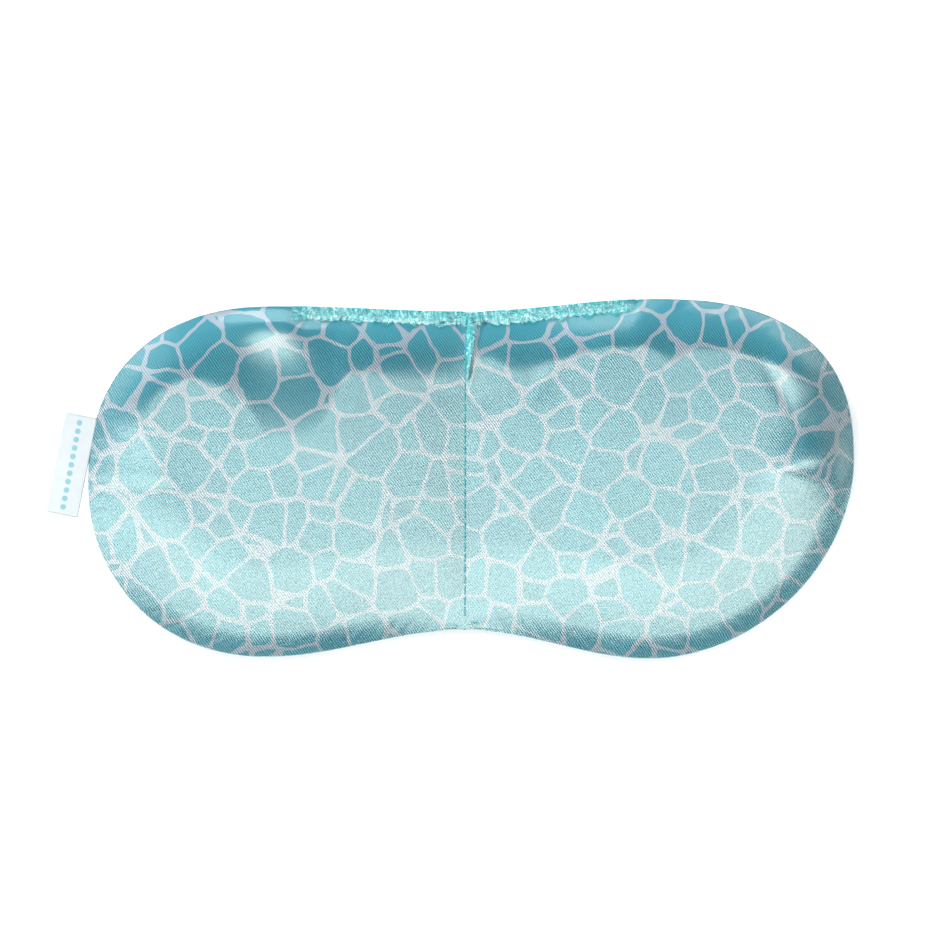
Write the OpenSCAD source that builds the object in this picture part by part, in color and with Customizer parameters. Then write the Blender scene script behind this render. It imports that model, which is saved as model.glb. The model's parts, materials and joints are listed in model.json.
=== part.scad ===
// Sleep eye mask: two seed-filled lobes in a satin cover, stitched through down
// the middle so that it folds there, with a closing lip along the brow edge and
// a folded ribbon label on the left. It lies on its back: +Z is up, +Y is the
// brow edge, +X is the right-hand lobe and Z = 0 is the surface it rests on.

/* [Left lobe] */
// Centre seam to the tip
left_reach = 105.5; // [95:0.5:115]
// Height of the tip above the middle line
left_tip_y = -1; // [-6:0.5:8]
// Middle line to the top of the brow edge
left_brow_height = 48; // [47:0.5:54]
// Centre seam to the top of the brow edge
left_brow_at = 53; // [48:0.5:60]
// Squareness of the brow edge's outer corner
left_brow_square = 2.3; // [1.8:0.1:3]
// Middle line to the bottom of the cheek edge
left_cheek_height = 50; // [47:0.5:54]
// Centre seam to the bottom of the cheek edge
left_cheek_at = 56; // [48:0.5:60]
// Squareness of the cheek edge's outer corner
left_cheek_square = 2.1; // [1.8:0.1:3]

/* [Right lobe] */
// Centre seam to the tip
right_reach = 109; // [95:0.5:115]
// Height of the tip above the middle line
right_tip_y = 5; // [-6:0.5:8]
// Middle line to the top of the brow edge
right_brow_height = 50; // [47:0.5:54]
// Centre seam to the top of the brow edge
right_brow_at = 54; // [48:0.5:60]
// Squareness of the brow edge's outer corner
right_brow_square = 2.5; // [1.8:0.1:3]
// Middle line to the bottom of the cheek edge
right_cheek_height = 50.5; // [47:0.5:54]
// Centre seam to the bottom of the cheek edge
right_cheek_at = 52; // [48:0.5:60]
// Squareness of the cheek edge's outer corner
right_cheek_square = 1.9; // [1.8:0.1:3]

/* [Centre seam] */
// Middle line to the brow edge at the centre seam
brow_waist = 46.5; // [42:0.5:47]
// Middle line to the cheek edge at the centre seam, which makes the nose notch
nose_waist = 42.5; // [36:0.5:47]
// Flat cloth on each side of the fold line
seam_flat = 1.2; // [1:0.1:2]

/* [Thickness] */
// Height of the edge seam above the surface the mask lies on
seam_z = 6; // [5:0.5:8]
// Crown of the lobes above the edge seam
crown = 10; // [8:0.5:11]
// Fullness of the lobes: a larger number keeps them flat further out
fullness = 3.5; // [3:0.1:3.6]
// Thickness of the cover cloth
cloth = 0.4; // [0.3:0.05:0.45]
// Thickness of the pouch cloth
pouch = 0.3; // [0.2:0.05:0.4]

/* [Seams] */
// Turned-in cloth inside the edge seam
allowance = 6; // [5:0.5:8]
// Width of the flat closing lip on the brow edge
lip = 3; // [2.5:0.5:4]
// Centre seam to each end of the closing lip
closure_half = 49; // [35:1:55]
// Length of one stitch
stitch = 2.4; // [2:0.1:3]
// Gap between stitches
stitch_gap = 0.6; // [0.4:0.1:1]
// Diameter of the sewing thread
thread = 0.36; // [0.3:0.02:0.4]

/* [Label] */
// Length of the ribbon along the seam
label_length = 28.5; // [20:0.5:32]
// How far the folded ribbon stands out
label_out = 8.5; // [7:0.5:13]
// Height of the label's middle above the middle line
label_y = 3; // [-5:0.5:10]
// Thickness of the folded ribbon
label_thick = 0.9; // [0.7:0.1:1.2]
// Turn of the label away from the seam, in degrees
label_turn = 11; // [0:1:15]

/* [Hidden] */

LEFT = -1;
RIGHT = 1;
air = 0.05;                 // clearance between layers that lie on each other
seed_gap = 0.3;             // clearance between the seeds and their pouch
fold_gap = 0.75;            // fold line to the first cloth of each lobe
strip_width = 1.1;          // cloth on the fold line, clear of both lobes
strip_thick = 0.3;
label_cloth = 0.25;
label_gap = 0.6;            // rim to the label, which turns beside it
label_tail = 6;             // ribbon before it is cut to the rim's curve
hidden_margin = 0.4;        // flat rim outside the dome, away from the lip
lip_ramp = 4;               // length over which the lip runs out at its ends
edge_inset = 2;             // edge stitches, from the rim
lip_inset = 1.5;            // closing stitches, from the rim
crease = 30;                // from the fold, where the domes rise gently
back_sink = 2;              // how much of the back's dome the surface flattens
crown_at = [54, -6];        // crown of a lobe: distance from the seam, height
rings = [0.3, 0.55, 0.75, 0.87, 0.95, 1];
steps = 24;                 // outline points along the brow and along the cheek
seam_steps = 10;
inner_share = 0.4;          // share of an edge's points between seam and peak

function clamp01(t) = min(1, max(0, t));
function ease(t) = (1 - cos(180 * t)) / 2;

// An edge of a lobe is [height, distance of its peak, squareness, waist, reach, tip].
function brow(side) = side == LEFT
    ? [left_brow_height, left_brow_at, left_brow_square, brow_waist, left_reach, left_tip_y]
    : [right_brow_height, right_brow_at, right_brow_square, brow_waist, right_reach, right_tip_y];
function cheek(side) = side == LEFT
    ? [left_cheek_height, left_cheek_at, left_cheek_square, nose_waist, left_reach, -left_tip_y]
    : [right_cheek_height, right_cheek_at, right_cheek_square, nose_waist, right_reach, -right_tip_y];

// A point of an edge, t from 0 at the seam to 1 at the tip, as [distance, height].
// The first stretch eases from the waist to the peak, the rest is a superellipse.
function edge_point(edge, t) =
    t < inner_share
    ? [edge[1] * t / inner_share, edge[3] + (edge[0] - edge[3]) * ease(t / inner_share)]
    : let (a = 90 * (t - inner_share) / (1 - inner_share))
      [edge[1] + (edge[4] - edge[1]) * pow(sin(a), 2 / edge[2]),
       edge[5] + (edge[0] - edge[5]) * pow(cos(a), 2 / edge[2])];

// Flat margin outside the dome, and steepness of the dome, at a distance from the seam.
function margin(x) = hidden_margin + (lip - hidden_margin) * clamp01((closure_half - x) / lip_ramp);
function steepness(x) = 1 + clamp01(x / crease);

// A lobe's outline from the brow waist round the tip to the nose notch and back up
// the seam. Each point is [distance, height, margin, turned-in cloth, steepness].
function outline(side) = concat(
    [for (i = [0 : steps - 1]) let (p = edge_point(brow(side), i / steps), x = max(p[0], fold_gap))
        [x, p[1], margin(x), allowance, steepness(x)]],
    [for (i = [steps : -1 : 0]) let (p = edge_point(cheek(side), i / steps), x = max(p[0], fold_gap))
        [x, -p[1], hidden_margin, allowance, steepness(x)]],
    [for (i = [1 : seam_steps - 1]) let (f = i / seam_steps)
        [fold_gap, brow_waist * f - nose_waist * (1 - f), seam_flat, seam_flat, 1]]);

// Outline point o scaled by r about the crown, then moved inwards by inset.
function inside(o, r, inset) =
    let (d = [o[0], o[1]] - crown_at) crown_at + d * r * (1 - inset / norm(d));

// Along the left lobe's side, the ribbon's outward direction and the line it starts on.
label_dir = [cos(label_turn), sin(label_turn)];
label_base = max([for (o = outline(LEFT)) [o[0], o[1]] * label_dir]) + label_gap;
label_corner = (label_base + label_out) * label_dir[0]
    + (label_length / 2 - (label_y - label_base * label_dir[1]) / label_dir[0]) * label_dir[1];
seam_x = (label_corner - right_reach) / 2;

function place(side, p, z) = [seam_x + side * p[0], p[1], z];
function ring(side, r, inset, z) = [for (o = outline(side)) place(side, inside(o, r, inset(o)), z(o, r))];

function dome(o, r) = pow(max(0, 1 - pow(r, fullness)), 1 / o[4]);
function rise(base, top) = function (o, r) base + (top - base) * dome(o, r);
function sink(base, low) = function (o, r) max(low, base - (base - low + back_sink) * dome(o, r));
function level(z) = function (o, r) z;
function rim(extra) = function (o) o[2] + extra;
function fold_in(extra) = function (o) o[2] + o[3] + extra;
EDGE = function (o) 0;

// The rings of one dome, from its crown outwards or from its rim inwards.
function out(side, inset, z) = [for (r = rings) ring(side, r, inset, z)];
function back(side, inset, z) = [for (k = [len(rings) - 1 : -1 : 0]) ring(side, rings[k], inset, z)];

// Triangles of a closed skin: rows of points with a pole before and after them.
function skin_faces(rows, n, flip) =
    let (last = 1 + rows * n)
    [for (f = concat(
        [for (i = [0 : n - 1]) [0, 1 + i, 1 + (i + 1) % n]],
        [for (k = [0 : rows - 2], i = [0 : n - 1], half = [0, 1])
            let (a = 1 + k * n + i, b = 1 + k * n + (i + 1) % n)
            half == 0 ? [a, a + n, b + n] : [a, b + n, b]],
        [for (i = [0 : n - 1]) [last, 1 + (rows - 1) * n + (i + 1) % n, 1 + (rows - 1) * n + i]]))
        flip ? [f[2], f[1], f[0]] : f];

// A closed skin through rings of points, between two heights at the crown.
module skin(side, high, low, rows) {
    points = concat([place(side, crown_at, high)], [for (row = rows) each row],
        [place(side, crown_at, low)]);
    polyhedron(points, skin_faces(len(rows), len(rows[0]), side == RIGHT), convexity = 6);
}

// Front half of the cover over one lobe: dome, flat rim and turned-in allowance.
module front_panel(side) {
    base = seam_z + cloth;
    top = seam_z + crown;
    skin(side, top, top - cloth, concat(
        out(side, rim(0), rise(base, top)),
        [ring(side, 1, EDGE, level(base)),
         ring(side, 1, EDGE, level(seam_z)),
         ring(side, 1, fold_in(0), level(seam_z)),
         ring(side, 1, fold_in(0), level(base))],
        back(side, rim(cloth), rise(base, top - cloth))));
}

// Back half of the cover over one lobe, flattened where it lies on a surface.
module back_panel(side) {
    base = seam_z - cloth;
    skin(side, cloth, 0, concat(
        out(side, rim(cloth), sink(base, cloth)),
        [ring(side, 1, fold_in(0), level(base)),
         ring(side, 1, fold_in(0), level(seam_z)),
         ring(side, 1, EDGE, level(seam_z)),
         ring(side, 1, EDGE, level(base))],
        back(side, rim(0), sink(base, 0))));
}

// The pouch lies just inside the cover, and its rim inside the turned-in allowance.
pouch_top = seam_z + crown - cloth - air;
pouch_low = cloth + air;
pouch_rim = fold_in(2 * cloth);
pouch_inner_rim = fold_in(2 * cloth + pouch);

// Front ply of the inner pouch.
module pouch_front(side) {
    skin(side, pouch_top, pouch_top - pouch, concat(
        out(side, pouch_rim, rise(seam_z + pouch, pouch_top)),
        [ring(side, 1, pouch_rim, level(seam_z)),
         ring(side, 1, pouch_inner_rim, level(seam_z))],
        back(side, pouch_inner_rim, rise(seam_z + pouch / 2, pouch_top - pouch))));
}

// Back ply of the inner pouch.
module pouch_back(side) {
    skin(side, pouch_low + pouch, pouch_low, concat(
        out(side, pouch_inner_rim, sink(seam_z - pouch / 2, pouch_low + pouch)),
        [ring(side, 1, pouch_inner_rim, level(seam_z)),
         ring(side, 1, pouch_rim, level(seam_z))],
        back(side, pouch_rim, sink(seam_z - pouch, pouch_low))));
}

// The bed of seeds that fills one pouch, as one body.
module seed_fill(side) {
    fill_rim = fold_in(2 * cloth + pouch + seed_gap);
    top = pouch_top - pouch - seed_gap;
    low = pouch_low + pouch + seed_gap;
    skin(side, top, low, concat(
        out(side, fill_rim, rise(seam_z + air, top)),
        back(side, fill_rim, sink(seam_z - air, low))));
}

// One straight stitch between two points at one height.
module straight_stitch(a, b) {
    d = b - a;
    translate(a)
        rotate([0, 90, atan2(d[1], d[0])])
            cylinder(h = norm(d), d = thread, $fn = 8);
}

// Lockstitches along a path of points at height z: needle thread over the cloth and
// bobbin thread under it, half a stitch apart.
module lockstitches(path, half_thick) {
    ends = len(path) - 1;
    sums = [for (i = 0, s = 0; i <= ends; s = s + norm(path[min(i + 1, ends)] - path[i]), i = i + 1) s];
    xs = [for (i = [0 : ends]) [sums[i], path[i][0]]];
    ys = [for (i = [0 : ends]) [sums[i], path[i][1]]];
    pitch = stitch + stitch_gap;
    lift = half_thick + air + thread / 2;
    for (i = [0 : floor(sums[ends] / pitch) - 1], face = [-1, 1]) {
        s = (i + (1 - face) / 4) * pitch;
        z = seam_z + face * lift;
        if (s + stitch < sums[ends])
            straight_stitch([lookup(s, xs), lookup(s, ys), z],
                [lookup(s + stitch, xs), lookup(s + stitch, ys), z]);
    }
}

// Stitches that close the turned seam round one lobe, from the lip to the notch.
module edge_thread(side) {
    o = outline(side);
    start = [for (i = [0 : steps]) if (o[i][0] > closure_half) i][0];
    lockstitches([for (i = [start : 2 * steps - 1]) place(side, inside(o[i], 1, edge_inset), seam_z)], cloth);
}

// Stitches along the closing lip of one lobe.
module closure_thread(side) {
    o = outline(side);
    lockstitches([for (i = [0 : steps]) if (o[i][0] < closure_half)
        place(side, inside([max(o[i][0], 2 * fold_gap), o[i][1]], 1, lip_inset), seam_z)], cloth);
}

// Cloth on the fold line, between the two lobes.
module fold_strip() {
    translate([seam_x - strip_width / 2, -nose_waist, seam_z - strip_thick / 2])
        cube([strip_width, brow_waist + nose_waist, strip_thick]);
}

// Needle thread on the front (face 1) or bobbin thread on the back (face -1).
module fold_thread(face) {
    pitch = stitch + stitch_gap;
    count = floor((brow_waist + nose_waist - stitch_gap) / pitch);
    start = (brow_waist - nose_waist - count * pitch + stitch_gap) / 2;
    z = seam_z + face * (strip_thick / 2 + air + thread / 2);
    for (i = [0 : count - 1])
        straight_stitch([seam_x, start + i * pitch, z], [seam_x, start + i * pitch + stitch, z]);
}

// Section of the ribbon: two plies joined by the fold at its outer end.
module folded_ribbon() {
    bend = label_thick / 2;
    difference() {
        union() {
            translate([-label_tail, -bend]) square([label_tail + label_out - bend, label_thick]);
            translate([label_out - bend, 0]) circle(r = bend, $fn = 32);
        }
        translate([-label_tail - 1, label_cloth - bend])
            square([label_tail + 1 + label_out - bend, label_thick - 2 * label_cloth]);
    }
}

// Ribbon label whose tails end at the left lobe's rim.
module side_label() {
    along = (label_y - label_base * label_dir[1]) / label_dir[0];
    start = label_base * label_dir + along * [-label_dir[1], label_dir[0]];
    difference() {
        translate(place(LEFT, start, seam_z))
            rotate([0, 0, 180 - label_turn])
                rotate([90, 0, 0])
                    linear_extrude(height = label_length, center = true)
                        folded_ribbon();
        translate([0, 0, seam_z - label_thick])
            linear_extrude(height = 2 * label_thick)
                polygon([for (o = outline(LEFT)) let (p = inside(o, 1, -label_gap)) [seam_x - p[0], p[1]]]);
    }
}

color("paleturquoise") front_panel(LEFT);  // front_panel_left
color("paleturquoise") front_panel(RIGHT);  // front_panel_right
color("mediumturquoise") back_panel(LEFT);  // back_panel_left
color("mediumturquoise") back_panel(RIGHT);  // back_panel_right
color("ivory") pouch_front(LEFT);  // pouch_front_left
color("ivory") pouch_front(RIGHT);  // pouch_front_right
color("ivory") pouch_back(LEFT);  // pouch_back_left
color("ivory") pouch_back(RIGHT);  // pouch_back_right
color("saddlebrown") seed_fill(LEFT);  // seed_fill_left
color("saddlebrown") seed_fill(RIGHT);  // seed_fill_right
color("teal") edge_thread(LEFT);  // edge_thread_left
color("teal") edge_thread(RIGHT);  // edge_thread_right
color("teal") closure_thread(LEFT);  // closure_thread_left
color("teal") closure_thread(RIGHT);  // closure_thread_right
color("paleturquoise") fold_strip();
color("teal") fold_thread(1);  // fold_thread_front
color("teal") fold_thread(-1);  // fold_thread_back
color("white") side_label();
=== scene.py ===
"""Sleep eye mask: a printed satin cover of two seed-filled lobes, stitched through along the nose line.

It lies on a pale floor with its brow edge towards +Y. Shapes are worked out in millimetres in mask
coordinates: x from the centre seam (left lobe negative), y from the middle line, z from the floor.
"""
import json
import math

import bpy
import numpy as np
from mathutils import Euler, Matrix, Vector
from mathutils.kdtree import KDTree


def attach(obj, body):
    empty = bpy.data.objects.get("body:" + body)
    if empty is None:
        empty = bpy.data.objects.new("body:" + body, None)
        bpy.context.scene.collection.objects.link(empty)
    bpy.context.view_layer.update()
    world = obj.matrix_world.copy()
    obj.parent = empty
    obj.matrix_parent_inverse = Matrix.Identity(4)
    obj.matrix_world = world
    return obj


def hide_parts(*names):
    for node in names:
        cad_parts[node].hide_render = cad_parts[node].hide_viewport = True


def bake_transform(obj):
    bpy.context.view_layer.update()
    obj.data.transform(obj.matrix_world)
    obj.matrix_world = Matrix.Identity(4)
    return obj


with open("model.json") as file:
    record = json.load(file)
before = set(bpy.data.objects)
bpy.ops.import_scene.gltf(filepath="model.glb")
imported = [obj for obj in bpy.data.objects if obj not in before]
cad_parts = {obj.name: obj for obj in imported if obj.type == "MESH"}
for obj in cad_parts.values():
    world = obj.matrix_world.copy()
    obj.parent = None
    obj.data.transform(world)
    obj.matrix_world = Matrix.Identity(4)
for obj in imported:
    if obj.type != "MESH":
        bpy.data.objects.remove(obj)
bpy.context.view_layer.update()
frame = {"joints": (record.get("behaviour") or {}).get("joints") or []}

# ---------------------------------------------------------------- sizes, mm
MM = 0.001
JOINTS = {joint["name"]: joint for joint in frame["joints"]}
SEAM_X, _, SEAM_Z = (value / MM for value in JOINTS["centre_fold"]["pos_m"])
HINGE = [value / MM for value in JOINTS["label_flex"]["pos_m"]]

# An edge is (height, distance of its peak, squareness, waist, reach, tip), as the lobes are cut.
LOBES = {
    "left": {"side": -1, "brow": (48, 53, 2.3, 46.5, 105.5, -1), "cheek": (50, 56, 2.1, 42.5, 105.5, 1)},
    "right": {"side": 1, "brow": (50, 54, 2.5, 46.5, 109, 5), "cheek": (50.5, 52, 1.9, 42.5, 109, -5)},
}
INNER_SHARE = 0.4
CROWN = np.array([54.0, -6.0])
BROW_WAIST = 46.5
NOSE_WAIST = 42.5

FRONT_LIFT = 9.2        # crown of the front above the edge seam
BACK_SINK = SEAM_Z      # the back reaches the floor
BACK_ROLL = 12.0
SEAM_LIFT = 3.0         # arch of the centre seam above the edge seam
SEAM_PLIES = 0.35       # the covers' distance on the centre seam
FRONT_SEAM_ROLL = 40.0  # how far from the centre seam the front has filled out
BACK_SEAM_ROLL = 20.0
SEAM_CURVE = 1.6
CLOTH = 0.3
EDGE_GAP = 0.04         # half the gap between the two covers at the edge seam
TURN_IN = (0.8, 2.5, 6.0)
LIP_WIDTH = 3.0
LIP_FADE = 18.0
LIP_SHOWS = 3.7         # width of the gathered cloth along the lip
LIP_WANDER = ((0.5, 1.3), (0.3, 0.6))   # how its foot wanders: height and length of each wave
LIP_SOFT = 0.9
LIP_RIM = 0.9           # width of its smooth folded rim
LIP_END = (44.0, 50.0)  # the closing lip runs out between these distances from the seam
LIP_LEVEL = 20.0        # it is on the brow side of this y
FOOT_VALLEY = (1.0, 0.5)    # depth and width of the painted shade line at the gathered cloth's foot
RIM_VALLEY = (0.8, 0.22)    # and of the one beside the folded rim

# Where painted light makes the cloth lighter along the brow rim: how far in from the brow rim, from which y
# up and how far out along it, each with the length over which this fades.
BROW_GLOW_BAND = {"width": 13.0, "width_fade": 9, "from_y": 12, "y_fade": 16, "out": 102, "out_fade": 20}

# How the front rises from its rim along each edge: (distance from the seam, how far in it keeps rising,
# share of the rise that is in the steep last stretch).
ROLLS = {
    ("left", "brow"): (
        (0, 20, 0), (25, 18.5, 0), (33, 19, 0), (38, 33, 0), (46, 37, 0), (57, 36, 0), (66, 26, 0),
        (76, 20, 0), (85, 15, 0), (94, 13, 0), (100, 13, 0), (103, 15, 0), (104.8, 19, 0), (106, 24, 0)),
    ("left", "cheek"): ((0, 26, 0.14), (88, 26, 0.14), (99, 26, 0), (106, 25, 0)),
    ("right", "brow"): (
        (0, 15, 0), (6, 12, 0), (13, 18, 0), (26, 15, 0), (38, 12, 0), (52, 14, 0), (58, 18, 0),
        (64, 14, 0), (76, 13, 0), (84, 12.5, 0), (89, 12.5, 0),
        (94, 12, 0), (99, 12, 0), (102, 13, 0), (105, 15.5, 0), (109, 15.5, 0)),
    ("right", "cheek"): (
        (0, 26, 0.14), (103, 26, 0.16), (107, 27, 0.06), (108.3, 26, 0), (108.9, 18, 0), (109, 15.5, 0)),
}
EDGE_ROLL = 6.5
DOME_ROLL = 40.0        # the lobes' gentle doming reaches this far in
DOME_SHARE = 0.15
RISE_CURVE = 1.6
ROLL_CURVES = (2.2, 0.9)
RIM_STEPS = 700         # points of the rim along each edge of a lobe
EVEN_OUT = 20           # points to each side over which the width of the rise is evened out

# Soft swellings (height over 0) and hollows in the filled front: x, y, length, width, turn, height.
SWELLS = (
    (-54, 44, 13, 8.5, -14, 4.2),
    (-82, -14, 10, 12, 0, 0.6),
    (97, 3, 10, 9, 0, 2.4),
    (92, 33, 6, 5, -50, 0.9),
    (87, 26, 9, 2.2, -59, -0.6),
    (22, 27, 6, 2.5, 70, -0.3),
    (3, 22, 4, 4, 0, -0.5),
    (-4, 24, 4, 4, 0, -0.5),
)
SWELL_CLEAR = {"rim": 5, "seam": 14}    # they die out within this of the rim and of the centre seam
DETAIL_CLEAR = 1.5      # pleat and creases die out within this of the rim
PLIES_CLEAR = 4         # on the centre seam the covers meet at the rim and are apart from this far in

# The crimps along the closing lip: how far in from the rim they lie and over what width, and the share
# and rate of the finer ones among them. Waves of (share of a pitch, length, start) make them uneven.
CRIMP = {"height": 0.45, "pitch": 2.3, "line": 2.6, "width": 1.1, "fine": 0.5, "fine_rate": 1.9}
CRIMP_WANDER = ((0.55, 3.1, 0), (0.3, 1.7, 1))

# The small puckers along the turned edge: as above, with the mask's aspect and radius, which turn the
# direction from its middle into a length, and the waves that make them uneven.
PUCKER = {"height": 0.04, "line": 2.5, "width": 2, "aspect": 2, "radius": 70, "rate": 1.3, "fine": 0.6,
          "fine_rate": 2.3, "wander": 1.5, "wander_length": 5, "fine_wander_length": 3}

# The pleat: y of its ends, its widths there, its height, how fast it starts, its crest's lean and
# roundness, the share of its width that shows gathered cloth, and how softly that begins and ends.
PLEAT = {"foot": 25, "top": 45, "wide": 5.5, "narrow": 1.2, "height": 1.5, "start": 4, "lean": 0.6,
         "round": 0.8, "shows": 0.8, "soft_begin": 0.5, "soft_end": 0.8}

# The creases at the nose notch: where they fan out, how soon they die out, their number and turns.
PINCH = {"y": -41, "reach": 4.5, "height": 0.3, "spokes": 5, "turn": 0.8, "uneven": 2, "clear": 3}

BACK_SHOWS = 0.2        # how far the back's edge stands out past the front's
BACK_SHOWS_FROM = 10    # in full from this far out from the centre seam

THREAD = 0.36
THREAD_SIDES = 8
THREAD_SINK = 0.2       # how deep a stitch's ends dip into the cloth
STITCH = 2.4
STITCH_GAP = 0.6
STITCH_STEPS = 7
STITCH_LINE_STEPS = 400
FOLD_LINE_STEPS = 200
FOLD_INSET = 1.0        # the centre seam's stitches stop this far from the rim
CLOSURE_HALF = 49.0
CLOSURE_INSET = 1.5
EDGE_INSET = 2.0

POUCH_INSET = 7.6
POUCH_GAP = 0.6
SEED_INSET = 8.6
SEED_GAP = 1.1
SEAM_CLEAR = 4.0        # how much further the filling keeps from the centre seam
SEAM_CLEAR_REACH = 12.0
PAD_RINGS = 22
PAD_SKIP = 3            # of the outline's points, a pad takes one in this many
PAD_SQUARENESS = 6

LABEL_LENGTH = 28.5
LABEL_OUT = 8.1
LABEL_TAIL = 0.9
LABEL_HALF = 0.3        # half the gap between the folded ribbon's plies
LABEL_SEWN = 0.35       # share of the gap that is left where it is sewn in
LABEL_OPENS = 6.0       # it is fully open this far out from its ends
LABEL_WAVE = {"height": 0.25, "length": 5.5, "start": 0.6}
LABEL_DROOP = 0.5
LABEL_STEPS = {"out": 22, "fold": 9, "along": 46}
RIBBON = 0.14

DOT_PITCH = 2.4
DOT_RADIUS = 0.8
DOT_SOFT = 0.12
DOT_ROW = 4.4           # the printed dots' distance from the label's fold

OUTLINE_STEPS = {"edge": 220, "seam": 110}
CURVE_STEPS = 1200      # points that an edge's curve is measured with
FOLD_ANGLE = math.radians(70)   # the cloth's shading breaks at folds sharper than this
RINGS = 64
RING_CROWDING = 0.65    # how much closer the rings lie towards the rim
MERGE_DECIMALS = 4      # points that agree to this many decimals are one


def mask_to_world(points):
    """Metres in the frame from millimetres in mask coordinates."""
    return (np.asarray(points, float) + (SEAM_X, 0, 0)) * MM


def smooth(t):
    """0 below 0 and 1 above 1, eased between them."""
    t = np.clip(t, 0, 1)
    return t * t * (3 - 2 * t)


# ---------------------------------------------------------------- outline

def edge_points(edge, count):
    """Evenly spaced points (distance from the seam, height) of a lobe's edge, from the seam to the tip."""
    height, peak, square, waist, reach, tip = edge
    t = np.linspace(0, 1, CURVE_STEPS)
    inner = t / INNER_SHARE
    turn = np.radians(90 * np.clip((t - INNER_SHARE) / (1 - INNER_SHARE), 0, 1))
    ease = (1 - np.cos(np.pi * np.clip(inner, 0, 1))) / 2
    x = np.where(t < INNER_SHARE, peak * inner, peak + (reach - peak) * np.sin(turn) ** (2 / square))
    y = np.where(t < INNER_SHARE, waist + (height - waist) * ease,
                 tip + (height - tip) * np.abs(np.cos(turn)) ** (2 / square))
    length = np.concatenate([[0], np.cumsum(np.hypot(np.diff(x), np.diff(y)))])
    wanted = np.linspace(0, length[-1], count)
    return np.stack([np.interp(wanted, length, x), np.interp(wanted, length, y)], 1)


def lobe_outline(name):
    """A lobe's outline in mask coordinates: brow edge, cheek edge and back up the centre seam."""
    lobe = LOBES[name]
    brow = edge_points(lobe["brow"], OUTLINE_STEPS["edge"])
    cheek = edge_points(lobe["cheek"], OUTLINE_STEPS["edge"])[::-1] * (1, -1)
    rise = np.linspace(-NOSE_WAIST, BROW_WAIST, OUTLINE_STEPS["seam"])[1:-1]
    seam = np.stack([0 * rise, rise], 1)
    return np.concatenate([brow, cheek[1:], seam]) * (lobe["side"], 1)


def mask_rim():
    """The mask's rim as a closed loop, and the front's rise at each point: its width and steep share."""
    points, rolls = [], []
    for name, edge, backwards, flip in (
            ("right", "brow", False, 1), ("right", "cheek", True, -1),
            ("left", "cheek", False, -1), ("left", "brow", True, 1)):
        p = edge_points(LOBES[name][edge], RIM_STEPS)
        table = np.array(ROLLS[name, edge], float)
        roll = np.stack([np.interp(p[:, 0], table[:, 0], table[:, k]) for k in (1, 2)])
        order = slice(None, None, -1) if backwards else slice(None)
        points.append((p * (LOBES[name]["side"], flip))[order][:-1])
        rolls.append(roll[:, order][:, :-1])
    rolls = np.concatenate(rolls, 1)
    window = np.hanning(2 * EVEN_OUT + 1)
    around = np.concatenate([rolls[:, -EVEN_OUT:], rolls, rolls[:, :EVEN_OUT]], 1)
    even = [np.convolve(row, window / window.sum(), "valid") for row in around]
    return np.concatenate(points), np.stack(even, 1)


RIM, RIM_ROLL = mask_rim()
TREE = KDTree(len(RIM))
for index, (rim_x, rim_y) in enumerate(RIM):
    TREE.insert((rim_x, rim_y, 0), index)
TREE.balance()


def rim_distance(xy):
    """Each point's distance to the rim, and the rise's width and steep share where the rim is nearest."""
    near = np.array([TREE.find((x, y, 0))[1] for x, y in xy])
    best = np.full(len(xy), 1e9)
    for step in (-1, 1):
        a, b = RIM[near], RIM[(near + step) % len(RIM)]
        along = np.clip(np.einsum("ij,ij->i", xy - a, b - a) / np.einsum("ij,ij->i", b - a, b - a), 0, 1)
        best = np.minimum(best, np.hypot(*(xy - a - along[:, None] * (b - a)).T))
    return best, RIM_ROLL[near, 0], RIM_ROLL[near, 1]


# ---------------------------------------------------------------- relief of the covers

def risen(distance, width):
    """0 at the rim and 1 from the given width inwards, as a gentle rise."""
    a = 1 - np.clip(distance / width, 0, 1)
    return 1 - a ** RISE_CURVE


def rolled(distance, width):
    """0 at the rim and 1 from the given width inwards, upright at the rim."""
    a = 1 - np.clip(distance / width, 0, 1)
    inner, outer = ROLL_CURVES
    return (1 - a ** inner) ** outer


def seam_fall(x, width):
    """0 at the centre seam and 1 from the width outwards."""
    return 1 - (1 - np.clip(np.abs(x) / width, 0, 1)) ** SEAM_CURVE


def lip_share(x, y):
    """1 along the closing lip, 0 away from it."""
    return smooth((LIP_END[1] - np.abs(x)) / (LIP_END[1] - LIP_END[0])) * (y > LIP_LEVEL)


def swell(x, y):
    """Height of the soft swellings and hollows together."""
    total = np.zeros_like(x)
    for at_x, at_y, length, width, turn, height in SWELLS:
        c, s = math.cos(math.radians(turn)), math.sin(math.radians(turn))
        along = ((x - at_x) * c + (y - at_y) * s) / length
        across = ((y - at_y) * c - (x - at_x) * s) / width
        total += height * np.exp(-along ** 2 - across ** 2)
    return total


def crimps(x, y, distance):
    """The puckers along the closing lip, from its stitches to the valley under them."""
    along = x / CRIMP["pitch"]
    for share, length, start in CRIMP_WANDER:
        along = along + share * np.sin(x / length + start)
    fine = np.sin(2 * np.pi * CRIMP["fine_rate"] * along + distance)
    ripple = np.sin(2 * np.pi * along) + CRIMP["fine"] * fine
    band = np.exp(-((distance - CRIMP["line"]) / CRIMP["width"]) ** 2)
    return CRIMP["height"] * ripple * band * lip_share(x, y)


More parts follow.
